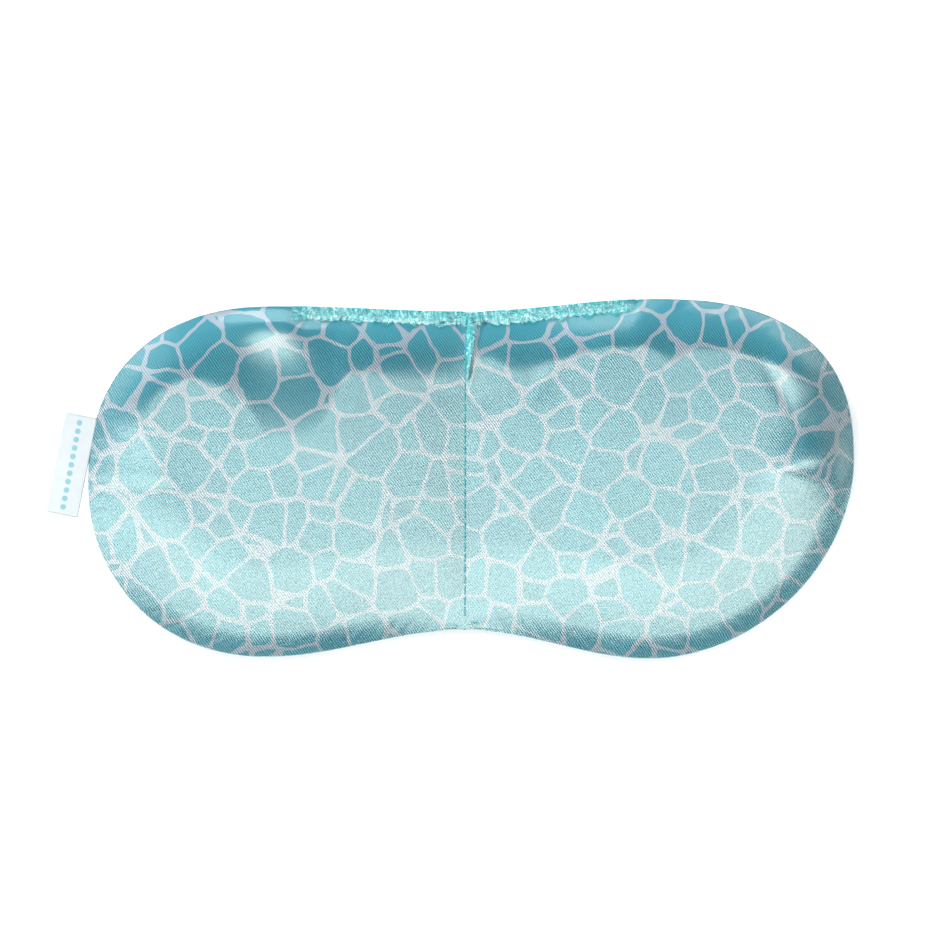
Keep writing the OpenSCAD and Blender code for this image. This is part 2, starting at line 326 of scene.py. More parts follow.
def puckers(x, y, distance):
    """Fine waves that the edge seam draws into the cloth beside it."""
    around = np.arctan2(y, x / PUCKER["aspect"]) * PUCKER["radius"]
    wander = PUCKER["wander"] * np.sin(around / PUCKER["wander_length"])
    fine_wander = np.cos(around / PUCKER["fine_wander_length"])
    fine = np.sin(around * PUCKER["fine_rate"] + fine_wander)
    wave = np.sin(around * PUCKER["rate"] + wander) + PUCKER["fine"] * fine
    band = np.exp(-((distance - PUCKER["line"]) / PUCKER["width"]) ** 2)
    return PUCKER["height"] * wave * band * (1 - lip_share(x, y))


def pleat_width(y):
    """The pleat's width, and how far it has begun: 0 below its foot, 1 above."""
    up = (y - PLEAT["foot"]) / (PLEAT["top"] - PLEAT["foot"])
    width = PLEAT["narrow"] + (PLEAT["wide"] - PLEAT["narrow"]) * np.clip(up, 0, 1)
    return width, smooth(up * PLEAT["start"])


def valley(offset, size):
    """A painted shade line's strength at this offset from its middle; its size is (depth, width)."""
    depth, width = size
    return depth * np.exp(-(offset / width) ** 2)


def trim(xy):
    """Where the cover is gathered (lip and pleat), where painted light lightens it along the brow, and
    where it has a valley of painted shade.
    """
    x, y = xy.T
    distance = rim_distance(xy)[0]
    foot = LIP_SHOWS
    for height, length in LIP_WANDER:
        foot = foot + height * np.sin(x / length)
    lip = lip_share(x, y) * smooth((foot - distance) / LIP_SOFT)
    painted_valley_shade = valley(distance - foot, FOOT_VALLEY) + valley(distance - LIP_RIM, RIM_VALLEY)
    width, share = pleat_width(y)
    begin = smooth(x / PLEAT["soft_begin"])
    end = smooth((PLEAT["shows"] * width - x) / PLEAT["soft_end"])
    brow_glow = smooth((BROW_GLOW_BAND["width"] - distance) / BROW_GLOW_BAND["width_fade"])
    brow_glow = brow_glow * smooth((y - BROW_GLOW_BAND["from_y"]) / BROW_GLOW_BAND["y_fade"])
    brow_glow = brow_glow * smooth((BROW_GLOW_BAND["out"] - np.abs(x)) / BROW_GLOW_BAND["out_fade"])
    return np.column_stack([np.clip(lip + share * begin * end, 0, 1), brow_glow, painted_valley_shade * lip_share(x, y)])


def pleat(x, y):
    """The fold of spare cloth that lies to the right of the centre seam at the brow."""
    width, share = pleat_width(y)
    across = np.clip(x / width, 0, 1)
    crest = np.sin(np.pi * across ** PLEAT["lean"]) ** PLEAT["round"]
    return PLEAT["height"] * share * crest * (x > 0)


def pinch(x, y):
    """Short creases that fan out from the nose notch."""
    away = np.hypot(x, y - PINCH["y"])
    turn = np.arctan2(x, y - PINCH["y"])
    spokes = np.cos(PINCH["spokes"] * turn + PINCH["turn"] + np.sin(PINCH["uneven"] * turn))
    return PINCH["height"] * spokes * np.exp(-away / PINCH["reach"]) * smooth(away / PINCH["clear"])


def rise_from_rim(distance, width, steep):
    """0 at the rim and 1 far in: a gentle rise, a steep last stretch and the lobe's wide doming."""
    gentle = (1 - DOME_SHARE - steep) * risen(distance, width)
    return gentle + steep * risen(distance, EDGE_ROLL) + DOME_SHARE * risen(distance, DOME_ROLL)


def front_height(xy):
    """Height of the front cover's outer face at points of the mask."""
    x, y = xy.T
    distance, width, steep = rim_distance(xy)
    inner = np.maximum(distance - LIP_WIDTH * lip_share(x, y) * (1 - smooth(distance / LIP_FADE)), 0)
    lobes = SEAM_LIFT + (FRONT_LIFT - SEAM_LIFT) * seam_fall(x, FRONT_SEAM_ROLL)
    detail = (pleat(x, y) + pinch(x, y)) * smooth(distance / DETAIL_CLEAR)
    detail = detail + crimps(x, y, distance) + puckers(x, y, distance)
    soft = swell(x, y) * smooth(inner / SWELL_CLEAR["rim"]) * smooth(np.abs(x) / SWELL_CLEAR["seam"])
    return SEAM_Z + EDGE_GAP + rise_from_rim(inner, width, steep) * lobes + soft + detail


def back_height(xy):
    """Height of the back cover's outer face: near the centre seam it follows the front's."""
    x, y = xy.T
    distance, width, steep = rim_distance(xy)
    plies = SEAM_PLIES * smooth(distance / PLIES_CLEAR)
    seam = SEAM_Z + rise_from_rim(distance, width, steep) * SEAM_LIFT - plies
    lobe = SEAM_Z - EDGE_GAP - (BACK_SINK - EDGE_GAP) * rolled(distance, BACK_ROLL)
    fill = seam_fall(x, BACK_SEAM_ROLL)
    return (1 - fill) * seam + fill * lobe


# ---------------------------------------------------------------- meshes

def new_object(name, vertices, faces, attributes=()):
    """A smooth mesh object from world points in metres, with named attributes."""
    mesh = bpy.data.meshes.new(name)
    mesh.from_pydata([tuple(v) for v in vertices], [], [tuple(f) for f in faces])
    for key, values in attributes:
        kind = "FLOAT_VECTOR" if np.ndim(values) == 2 else "FLOAT"
        layer = mesh.attributes.new(key, kind, "POINT")
        layer.data.foreach_set("vector" if kind == "FLOAT_VECTOR" else "value",
                               np.asarray(values, np.float32).ravel())
    mesh.update()
    mesh.shade_smooth()
    obj = bpy.data.objects.new(name, mesh)
    bpy.context.scene.collection.objects.link(obj)
    return obj


def disc_faces(count, rings, order):
    """Faces of a centre point and rings round it; the order is -1 where the rings run anticlockwise."""
    faces = [(0, 1 + (i + 1) % count, 1 + i)[::order] for i in range(count)]
    for k in range(rings - 1):
        a = 1 + k * count
        b = a + count
        for i in range(count):
            j = (i + 1) % count
            faces.append((a + i, a + j, b + j, b + i)[::order])
    return faces


def lobe_grid(name, height, grow=0.0):
    """Points and faces of a cover over one lobe, as rings about its crown, with its turned-in edge.

    The cover's edge stands out by the growth, in millimetres.
    """
    outline = lobe_outline(name)
    side = LOBES[name]["side"]
    crown = CROWN * (side, 1)
    count = len(outline)
    edge_count = 2 * OUTLINE_STEPS["edge"] - 1
    q = 1 - np.arange(1, RINGS + 1) / RINGS
    shares = 1 - ((1 - RING_CROWDING) * q + RING_CROWDING * q * q)
    rings = [crown + share * (outline - crown) for share in shares]
    xy = np.concatenate([crown[None]] + rings)
    z = height(xy)
    edge = outline[:edge_count]
    inward = crown - edge
    inward /= np.hypot(*inward.T)[:, None]
    edge = edge - inward * grow * smooth(np.abs(edge[:, :1]) / BACK_SHOWS_FROM)
    xy[-count:][:edge_count] = edge
    points = [np.column_stack([xy, z])]
    faces = disc_faces(count, RINGS, side)
    rim_start = 1 + (RINGS - 1) * count
    previous = [rim_start + i for i in range(edge_count)]
    total = len(xy)
    for depth in TURN_IN:
        fade = np.clip(np.abs(edge[:, 0]) / depth, 0, 1)[:, None]
        turned = edge + inward * depth * fade
        points.append(np.column_stack([turned, np.full(edge_count, z[-1])]))
        current = [total + i for i in range(edge_count)]
        for i in range(edge_count - 1):
            faces.append((previous[i], previous[i + 1], current[i + 1], current[i])[::side])
        previous = current
        total += edge_count
    return np.concatenate(points), faces


def merged(parts):
    """Several (points, faces) joined into one, with points in the same place made one."""
    points, faces, base = [], [], 0
    for p, f in parts:
        points.append(p)
        faces += [tuple(base + i for i in face) for face in f]
        base += len(p)
    points = np.concatenate(points)
    _, first, which = np.unique(np.round(points, MERGE_DECIMALS), axis=0, return_index=True,
                                return_inverse=True)
    which = which.ravel()
    clean = []
    for face in faces:
        ids = [which[i] for i in face]
        kept = [v for n, v in enumerate(ids) if v != ids[n - 1]]
        if len(set(kept)) > 2:
            clean.append(tuple(kept))
    return points[first], clean


def apply_modifiers(obj):
    """The object with its modifiers made part of its mesh."""
    graph = bpy.context.evaluated_depsgraph_get()
    mesh = bpy.data.meshes.new_from_object(obj.evaluated_get(graph), depsgraph=graph)
    obj.modifiers.clear()
    obj.data = mesh
    mesh.name = obj.name
    return obj


def cover(name, height, up, grow=0.0):
    """One face of the mask as a cloth of both lobes, with its outer side up or down."""
    points, faces = merged([lobe_grid("left", height, grow), lobe_grid("right", height, grow)])
    if not up:
        faces = [face[::-1] for face in faces]
    # The trim attribute holds where the cloth is gathered, where painted light lightens the brow rim, and
    # where painted shade lines lie.
    attributes = [("cloth", points), ("trim", trim(points[:, :2]))]
    obj = new_object(name, mask_to_world(points), faces, attributes)
    shell = obj.modifiers.new("thickness", "SOLIDIFY")
    shell.thickness = CLOTH * MM
    shell.offset = -1
    apply_modifiers(obj)
    obj.data.set_sharp_from_angle(angle=FOLD_ANGLE)
    return obj


front = cover("front_cloth", front_height, True)
back = cover("back_cloth", back_height, False, BACK_SHOWS)


# ---------------------------------------------------------------- stitches

def tube(path, radius):
    """Points, faces and (along, around) values of a round thread along a path."""
    angles = np.linspace(0, 2 * np.pi, THREAD_SIDES, endpoint=False)
    ahead = np.gradient(path, axis=0)
    ahead /= np.linalg.norm(ahead, axis=1)[:, None]
    aside = np.cross(ahead, (0, 0, 1))
    aside /= np.linalg.norm(aside, axis=1)[:, None]
    above = np.cross(aside, ahead)
    ring = np.cos(angles)[None, :, None] * aside[:, None] + np.sin(angles)[None, :, None] * above[:, None]
    points = (path[:, None] + radius * ring).reshape(-1, 3)
    faces = [tuple(range(THREAD_SIDES))[::-1]]
    for k in range(len(path) - 1):
        for i in range(THREAD_SIDES):
            a, b = k * THREAD_SIDES + i, k * THREAD_SIDES + (i + 1) % THREAD_SIDES
            faces.append((a, b, b + THREAD_SIDES, a + THREAD_SIDES))
    faces.append(tuple((len(path) - 1) * THREAD_SIDES + i for i in range(THREAD_SIDES)))
    steps = np.linalg.norm(np.diff(path, axis=0), axis=1)
    along = np.repeat(np.concatenate([[0], np.cumsum(steps)]), THREAD_SIDES)
    values = np.column_stack([along, np.tile(angles, len(path)), 0 * along])
    return points, faces, values


def stitch_row(line, surface, side):
    """Tubes for a row of stitches along a line, on the given surface and on its upper or under side."""
    length = np.concatenate([[0], np.cumsum(np.hypot(*np.diff(line, axis=0).T))])
    tubes = []
    t = np.linspace(0, 1, STITCH_STEPS)
    for start in np.arange(STITCH_GAP, length[-1] - STITCH, STITCH + STITCH_GAP):
        at = start + STITCH * t
        xy = np.stack([np.interp(at, length, line[:, 0]), np.interp(at, length, line[:, 1])], 1)
        arch = THREAD_SINK * (4 * t * (1 - t)) ** 0.5 + THREAD / 2 - THREAD_SINK
        tubes.append(tube(np.column_stack([xy, surface(xy) + side * arch]), THREAD / 2))
    return tubes


def offset_line(line, inset):
    """A line moved to its side by the inset."""
    ahead = np.gradient(line, axis=0)
    ahead /= np.hypot(*ahead.T)[:, None]
    return line + inset * np.column_stack([ahead[:, 1], -ahead[:, 0]])


def stitches(name, rows, nodes):
    """One object of all the stitches in the rows, and the CAD nodes that it stands for."""
    points, faces, values, base = [], [], [], 0
    for row in rows:
        for p, f, v in row:
            points.append(p)
            values.append(v)
            faces += [tuple(base + i for i in face) for face in f]
            base += len(p)
    strands = [("strand", np.concatenate(values))]
    return new_object(name, mask_to_world(np.concatenate(points)), faces, strands), nodes


def seam_lines():
    """The stitch lines of the closing lips, and those of the turned edges round to the nose notch."""
    closing, edges = [], []
    for lobe in LOBES.values():
        brow, cheek = (edge_points(lobe[edge], STITCH_LINE_STEPS) for edge in ("brow", "cheek"))
        near = brow[:, 0] < CLOSURE_HALF
        closing.append(offset_line(brow[near], CLOSURE_INSET) * (lobe["side"], 1))
        around = np.concatenate([brow[~near], (cheek * (1, -1))[::-1][1:]])
        edges.append(offset_line(around, EDGE_INSET) * (lobe["side"], 1))
    return closing, edges


def allowance(side):
    """Height of the outer face of the turned-in cloth."""
    return lambda xy: np.full(len(xy), SEAM_Z + side * (EDGE_GAP + CLOTH))


CLOSING, EDGES = seam_lines()
FOLD_Y = np.linspace(BROW_WAIST - FOLD_INSET, FOLD_INSET - NOSE_WAIST, FOLD_LINE_STEPS)
FOLD = np.stack([np.zeros(FOLD_LINE_STEPS), FOLD_Y], 1)
FACES = ((front_height, 1), (back_height, -1))
CLOSURE_ROWS = [stitch_row(line, surface, side) for line in CLOSING for surface, side in FACES]
EDGE_ROWS = [stitch_row(line, allowance(side), side) for line in EDGES for side in (1, -1)]
STITCHES = [
    stitches("closure_stitches", CLOSURE_ROWS, ("closure_thread_left", "closure_thread_right")),
    stitches("edge_stitches", EDGE_ROWS, ("edge_thread_left", "edge_thread_right")),
    stitches("fold_stitches_front", [stitch_row(FOLD, front_height, 1)], ("fold_thread_front",)),
    stitches("fold_stitches_back", [stitch_row(FOLD, back_height, -1)], ("fold_thread_back",)),
]


# ---------------------------------------------------------------- filling

def filling(name, lobe, inset, gap):
    """A closed pad inside a lobe: this far in from the rim and from the two covers."""
    outline = lobe_outline(lobe)[::PAD_SKIP]
    crown = CROWN * (LOBES[lobe]["side"], 1)
    rays = outline - crown
    reach = np.hypot(*rays.T)[:, None]
    insets = inset + SEAM_CLEAR * (1 - smooth(np.abs(outline[:, :1]) / SEAM_CLEAR_REACH))
    rim = crown + rays * (1 - insets / reach)
    shares = np.sin(np.linspace(0, np.pi / 2, PAD_RINGS + 1))[1:]
    xy = np.concatenate([crown[None]] + [crown + share * (rim - crown) for share in shares])
    level = np.concatenate([[0]] + [np.full(len(rim), share) for share in shares])
    top, under = front_height(xy) - gap, back_height(xy) + gap
    middle = (top + under) / 2
    half = (top - under) / 2 * np.sqrt(np.clip(1 - level ** PAD_SQUARENESS, 0, 1))
    upper = np.column_stack([xy, middle + half])
    lower = np.column_stack([xy, middle - half])
    faces = disc_faces(len(rim), PAD_RINGS, LOBES[lobe]["side"])
    points, faces = merged([(upper, faces), (lower, [face[::-1] for face in faces])])
    return new_object(name, mask_to_world(points), faces, [("cloth", points)])


POUCHES = {side: filling(f"pouch_{side}", side, POUCH_INSET, POUCH_GAP) for side in LOBES}
SEEDS = {side: filling(f"seed_bed_{side}", side, SEED_INSET, SEED_GAP) for side in LOBES}


# ---------------------------------------------------------------- label

def ribbon_label():
    """A short ribbon folded double, with its fold outwards and its two ends at the rim."""
    reach = np.linspace(-LABEL_TAIL, LABEL_OUT - LABEL_HALF, LABEL_STEPS["out"])
    turn = np.linspace(-90, 90, LABEL_STEPS["fold"])[1:-1]
    bend = np.stack([LABEL_OUT - LABEL_HALF + LABEL_HALF * np.cos(np.radians(turn)),
                     LABEL_HALF * np.sin(np.radians(-turn))], 1)
    opens = smooth((reach + LABEL_TAIL) / LABEL_OPENS)
    opening = LABEL_HALF * (LABEL_SEWN + (1 - LABEL_SEWN) * opens)
    profile = np.concatenate([np.stack([reach, opening], 1), bend, np.stack([reach, -opening], 1)[::-1]])
    along = np.linspace(-LABEL_LENGTH / 2, LABEL_LENGTH / 2, LABEL_STEPS["along"])
    out, level = profile.T
    u, w = np.meshgrid(along, out, indexing="ij")
    z = np.broadcast_to(level, u.shape)
    outward = np.clip(w / LABEL_OUT, 0, 1)
    ripple = np.sin(u / LABEL_WAVE["length"] + LABEL_WAVE["start"])
    wave = LABEL_WAVE["height"] * outward * ripple - LABEL_DROOP * outward ** 2
    direction = np.array(JOINTS["label_flex"]["axis"][:2])
    side = np.array([-direction[1], direction[0]])
    xy = np.array(HINGE[:2]) + u[..., None] * direction + w[..., None] * side
    points = np.concatenate([xy, (HINGE[2] + z + wave)[..., None]], 2).reshape(-1, 3)
    rows, columns = u.shape
    starts = [i * columns + j for i in range(rows - 1) for j in range(columns - 1)]
    faces = [(a, a + 1, a + columns + 1, a + columns) for a in starts]
    place = np.column_stack([u.ravel(), w.ravel(), z.ravel()])
    obj = new_object("ribbon_label", points * MM, faces, [("ribbon", place)])
    shell = obj.modifiers.new("thickness", "SOLIDIFY")
    shell.thickness = RIBBON * MM
    shell.offset = 0
    return apply_modifiers(obj)


label = ribbon_label()


# ---------------------------------------------------------------- materials

def new_material(name):
    """An empty node material and its tree."""
    material = bpy.data.materials.new(name)
    material.use_nodes = True
    tree = material.node_tree
    tree.nodes.clear()
    return material, tree


class Nodes:
    """Short forms for building a node tree."""

    def __init__(self, tree):
        self.tree = tree

    def add(self, kind, inputs=None, **settings):
        """A new node. Inputs that are sockets get linked, the others are set."""
        node = self.tree.nodes.new(kind)
        for key, value in settings.items():
            setattr(node, key, value)
        for key, value in (inputs or {}).items():
            if isinstance(value, bpy.types.NodeSocket):
                self.tree.links.new(value, node.inputs[key])
            else:
                node.inputs[key].default_value = value
        return node

    def math(self, operation, *values):
        return self.add("ShaderNodeMath", dict(enumerate(values)), operation=operation).outputs[0]

    def step(self, value, low, high):
        """0 below low and 1 above high, eased between them."""
        node = self.add("ShaderNodeMapRange", {"Value": value, "From Min": low, "From Max": high},
                        interpolation_type="SMOOTHSTEP")
        return node.outputs["Result"]

    def mix(self, share, a, b):
        node = self.add("ShaderNodeMix", {0: share, 6: a, 7: b}, data_type="RGBA")
        return node.outputs[2]

    def axes(self, vector):
        return self.add("ShaderNodeSeparateXYZ", {"Vector": vector}).outputs

    def swing(self, angle):
        """From 0 to 1 and back, as the sine of an angle."""
        return self.math("MULTIPLY_ADD", self.math("SINE", angle), 0.5, 0.5)

    def noise(self, vector, scale, detail, roughness=0.5):
        return self.add("ShaderNodeTexNoise", {"Vector": vector, "Scale": scale, "Detail": detail,
                                               "Roughness": roughness})

    def voronoi(self, vector, scale, feature, **inputs):
        return self.add("ShaderNodeTexVoronoi", {"Vector": vector, "Scale": scale, **inputs},
                        feature=feature)

    def vector(self, operation, a, b):
        node = self.add("ShaderNodeVectorMath", {0: a, 1: b}, operation=operation)
        return node.outputs["Value" if operation == "DOT_PRODUCT" else "Vector"]


# Colours are linear. Sizes and reliefs are in millimetres, and shares run from 0 to 1.
CELL = (0.033, 0.187, 0.236, 1)
CELL_DEEP = (0.025, 0.155, 0.205, 1)
NETWORK = (0.202, 0.256, 0.302, 1)
SHEEN_TINT = (0.90, 1.0, 0.89, 1)
SATIN_ROUGHNESS = 0.2
SATIN_IOR = 2.0
WEAVE_TILT = math.radians(55)
WEAVE_PITCH = 0.63
WEFT_PITCH = 0.5
WEAVE_WANDER = {"size": 3, "pitches": 1.2}
WEAVE_RELIEF = 0.05
WEFT_SHARE = 0.5
THREAD_GLINT_PAINT = 0.85    # painted glints and shade: how much lighter the threads are than the hollows between them
THREAD_MEAN = 0.35     # what the weave's height is on the whole, so that its shades even out
GRAIN_SIZE = 0.45
GRAIN_SHADE = 0.5
GRAIN_GLOSS = 0.5
GRAIN_RELIEF = 0.6     # the grain's relief as a share of the weave's
GRAZING_GLOSS = (0.95, 0.4)     # the weave hides its own gloss when it is seen along the cloth
BROW_GLOW_PAINT = 0.3       # painted light: how much lighter the cloth is along the brow rim
BROW_GLOW_HIDES_WEAVE = 0.8      # how much of the weave is hidden there
CRINKLE_RELIEF = 14.0
CRINKLE_SIZE = 0.9
CRINKLE_STRETCH = (1, 0.7, 1)
CRINKLE_TOPS = (0.52, 0.66)
CRINKLE_HOLLOWS = (0.50, 0.36)
# Gathered cloth along the lip and pleat: a teal lighter than the cells, standing in for the lit brow edge
# (painted light), with painted highlights on the crinkles' tops and painted shade in their hollows and
# valleys.
GATHER_LIT_PAINT = (0.03, 0.43, 0.47, 1)
GATHER_SHADE_PAINT = (0.004, 0.20, 0.24, 1)
GATHER_SPARKLE_PAINT = (0.62, 0.90, 0.90, 1)
VALLEY_SHADE = 0.85

BACK_PRINT_SHIFT = (37, 61, 0)
PRINT_DRIFTS = ((22, 5), (6, 2))    # sizes and reaches of the waves that make the print uneven
CELL_SIZE = 10.5
CELL_SCATTER = 0.95
SLICE_TURN = Euler((0.5, 0.35, 0.6))
SLICE_HEIGHT = 9.0
LINE_HALF = 0.42        # half the width of a line of the print's network
LINE_SWELL = 2.2        # how much more it can be where lines meet
LINE_SOFT = 0.12
LINE_CORNER = (0.09, 0.32)


def stored(n, name):
    """A vector that is stored on the mesh."""
    return n.add("ShaderNodeAttribute", attribute_name=name, attribute_type="GEOMETRY").outputs["Vector"]


def cell_network(n, place):
    """Share of the pale network between the print's cells, and a random value for each cell.

    The print is a flat slice through a field of cells in space, so that large and small ones lie together.
    """
    normal = SLICE_TURN.to_matrix() @ Vector((0, 0, 1))
    turned = n.add("ShaderNodeVectorRotate", {"Vector": n.vector("MULTIPLY", place, (1, 1, 0)),
                                              "Rotation": SLICE_TURN}, rotation_type="EULER_XYZ").outputs[0]
    turned = n.vector("ADD", turned, normal * SLICE_HEIGHT)

    def flat_square(offset):
        """Square of a vector's length within the slice."""
        out = n.vector("DOT_PRODUCT", offset, normal)
        return n.math("SUBTRACT", n.vector("DOT_PRODUCT", offset, offset), n.math("MULTIPLY", out, out))

    first, second, blended = (n.voronoi(turned, 1 / CELL_SIZE, feature, Randomness=CELL_SCATTER)
                              for feature in ("F1", "F2", "SMOOTH_F1"))
    blended.inputs["Smoothness"].default_value = 1.0
    to_first = n.vector("SUBTRACT", turned, first.outputs["Position"])
    to_second = n.vector("SUBTRACT", turned, second.outputs["Position"])
    lead = n.math("SUBTRACT", n.vector("DOT_PRODUCT", to_second, to_second),
                  n.vector("DOT_PRODUCT", to_first, to_first))
    between = n.vector("SUBTRACT", second.outputs["Position"], first.outputs["Position"])
    apart = n.math("SQRT", flat_square(between))
    gap = n.math("DIVIDE", lead, n.math("MULTIPLY", apart, 2.0))
    corner = n.math("SUBTRACT", first.outputs["Distance"], blended.outputs["Distance"])
    corner = n.step(corner, *LINE_CORNER)
    half = n.math("ADD", n.math("MULTIPLY", corner, LINE_SWELL), LINE_HALF)
    network = n.step(n.math("SUBTRACT", gap, half), LINE_SOFT, -LINE_SOFT)
    tint = n.add("ShaderNodeSeparateColor", {"Color": first.outputs["Color"]}).outputs["Green"]
    return network, tint


def satin(name, shift=(0, 0, 0)):
    """Printed satin: dyed cells in a pale network, a fine slanting weave, and a smooth reflecting face.

    The shift, in millimetres, is how far the print lies from the front's.
    """
    material, tree = new_material(name)
    n = Nodes(tree)
    cloth = stored(n, "cloth")
    drift, bend = (n.vector("MULTIPLY", n.noise(cloth, 1 / size, 1.0).outputs["Color"], (reach, reach, 0))
                   for size, reach in PRINT_DRIFTS)
    place = n.vector("ADD", n.vector("ADD", cloth, shift), n.vector("ADD", drift, bend))
    network, tint = cell_network(n, place)
    colour = n.mix(network, n.mix(tint, CELL, CELL_DEEP), NETWORK)
    edges = n.axes(stored(n, "trim"))
    gathered, brow_glow, painted_valley_shade = (edges[key] for key in ("X", "Y", "Z"))
    # Painted light: the cloth is made lighter along the brow rim, and its weave is hidden there.
    colour = n.vector("MULTIPLY", colour, n.math("MULTIPLY_ADD", brow_glow, BROW_GLOW_PAINT, 1.0))

    axes = n.axes(cloth)
    c, s = math.cos(WEAVE_TILT), math.sin(WEAVE_TILT)
    wobble = n.noise(cloth, 1 / WEAVE_WANDER["size"], 2.0).outputs["Fac"]

    def wave(a, b, pitch):
        """0 between threads and 1 on them."""
        along, across = n.math("MULTIPLY", axes["X"], a / pitch), n.math("MULTIPLY", axes["Y"], b / pitch)
        phase = n.math("ADD", along, across)
        phase = n.math("MULTIPLY_ADD", wobble, WEAVE_WANDER["pitches"], phase)
        return n.swing(n.math("MULTIPLY", phase, 2 * math.pi))

    warp = wave(s, c, WEAVE_PITCH)
    weft = wave(c, -s, WEFT_PITCH)
    grain = n.noise(cloth, 1 / GRAIN_SIZE, 1.0).outputs["Fac"]
    thread = n.math("MULTIPLY", warp, n.math("MULTIPLY_ADD", weft, WEFT_SHARE, 1 - WEFT_SHARE))
    shows = n.math("MULTIPLY_ADD", brow_glow, -BROW_GLOW_HIDES_WEAVE, 1.0)
    # Painted light: glints painted on the threads and shade painted in the hollows between them, with
    # random grain tone on top.
    mean_glint_and_grain = 2 * THREAD_MEAN * THREAD_GLINT_PAINT + GRAIN_SHADE / 2
    shade = n.math("MULTIPLY_ADD", thread, 2 * THREAD_GLINT_PAINT, -mean_glint_and_grain)
    shade = n.math("MULTIPLY_ADD", grain, GRAIN_SHADE, shade)
    colour = n.vector("MULTIPLY", colour, n.math("MULTIPLY_ADD", shade, shows, 1.0))

    # Along the lip and pleat: painted light on the gathered cloth, painted highlights on the crinkles' tops
    # and painted shade in their hollows.
    stretched = n.vector("MULTIPLY", cloth, CRINKLE_STRETCH)
    crinkle = n.noise(stretched, 1 / CRINKLE_SIZE, 3.0, 0.7).outputs["Fac"]
    painted_sparkle = n.step(crinkle, *CRINKLE_TOPS)
    painted_hollow_shade = n.step(crinkle, *CRINKLE_HOLLOWS)
    gather = n.mix(painted_sparkle, n.mix(painted_hollow_shade, GATHER_LIT_PAINT, GATHER_SHADE_PAINT), GATHER_SPARKLE_PAINT)
    colour = n.mix(gathered, colour, gather)
    # Painted shade lines in the valleys along the lip.
    colour = n.mix(n.math("MULTIPLY", painted_valley_shade, VALLEY_SHADE), colour, GATHER_SHADE_PAINT)

    height = n.math("MULTIPLY", n.math("MULTIPLY_ADD", grain, GRAIN_RELIEF, thread), shows)
    crinkled = n.math("MULTIPLY", gathered, crinkle)
    height = n.math("ADD", height, n.math("MULTIPLY", crinkled, CRINKLE_RELIEF))
    gloss = n.math("MULTIPLY_ADD", grain, GRAIN_GLOSS, 0.5 - GRAIN_GLOSS / 2)
    facing = n.add("ShaderNodeLayerWeight", {"Blend": 0.5}).outputs["Facing"]
    gloss = n.math("MULTIPLY", gloss, n.step(facing, *GRAZING_GLOSS))
    finish(n, colour, height, WEAVE_RELIEF, Roughness=SATIN_ROUGHNESS, IOR=SATIN_IOR,
           Specular_IOR_Level=gloss, Specular_Tint=SHEEN_TINT)
    return material


def finish(n, colour, height, relief, **surface):
    """Ends a material: its colour, its relief in millimetres and its other surface values."""
    inputs = {key.replace("_", " "): value for key, value in surface.items()}
    bump = n.add("ShaderNodeBump", {"Height": height, "Strength": 1.0, "Distance": relief * MM})
    inputs.update({"Base Color": colour, "Normal": bump.outputs["Normal"]})
    shader = n.add("ShaderNodeBsdfPrincipled", inputs)
    n.add("ShaderNodeOutputMaterial", {"Surface": shader.outputs[0]})


def dress(obj, material):
    """Gives a piece its one material."""
    obj.data.materials.clear()
    obj.data.materials.append(material)


STRAND = {"dark": (0.03, 0.22, 0.26, 1), "light": (0.10, 0.42, 0.46, 1), "twist": 0.9, "plies": 3.0,
          "fuzz": 0.3, "fuzz_scale": (9, 1.5, 1), "relief": 0.03, "roughness": 0.4}
RIBBON_LOOKS = {"thin": (0.49, 0.55, 0.58, 1), "thick": (0.56, 0.62, 0.64, 1), "cloud": 4, "rib": 0.35,
                "dot": (0.08, 0.36, 0.43, 1), "dot_strength": 0.85, "relief": 0.012}
COTTON_LOOKS = {"gap": (0.52, 0.47, 0.38, 1), "yarn": (0.80, 0.76, 0.66, 1), "slub": (0.62, 0.55, 0.43, 1),
                "slub_share": 0.35, "slub_scale": (0.3, 3, 1), "pitch": 0.55, "wander": 2.0,
                "wander_size": 2.5, "relief": 0.06, "roughness": 0.9}
SEED_LOOKS = {"dark": (0.16, 0.075, 0.03, 1), "light": (0.36, 0.20, 0.09, 1),
              "gap": (0.05, 0.025, 0.012, 1), "edge": (0.35, 0.75), "length": 2.6, "width": 1.7,
              "relief": 0.5, "roughness": 0.35}


def thread_material():
    """Polyester sewing thread of three twisted plies."""
    material, tree = new_material("thread")
    n = Nodes(tree)
    strand = stored(n, "strand")
    axes = n.axes(strand)
    turn = n.math("MULTIPLY_ADD", axes["X"], 2 * math.pi / STRAND["twist"], axes["Y"])
    ply = n.swing(n.math("MULTIPLY", turn, STRAND["plies"]))
    fuzz = n.noise(n.vector("MULTIPLY", strand, STRAND["fuzz_scale"]), 1.0, 2.0).outputs["Fac"]
    colour = n.mix(ply, STRAND["dark"], STRAND["light"])
    height = n.math("MULTIPLY_ADD", fuzz, STRAND["fuzz"], ply)
    finish(n, colour, height, STRAND["relief"], Roughness=STRAND["roughness"])
    return material


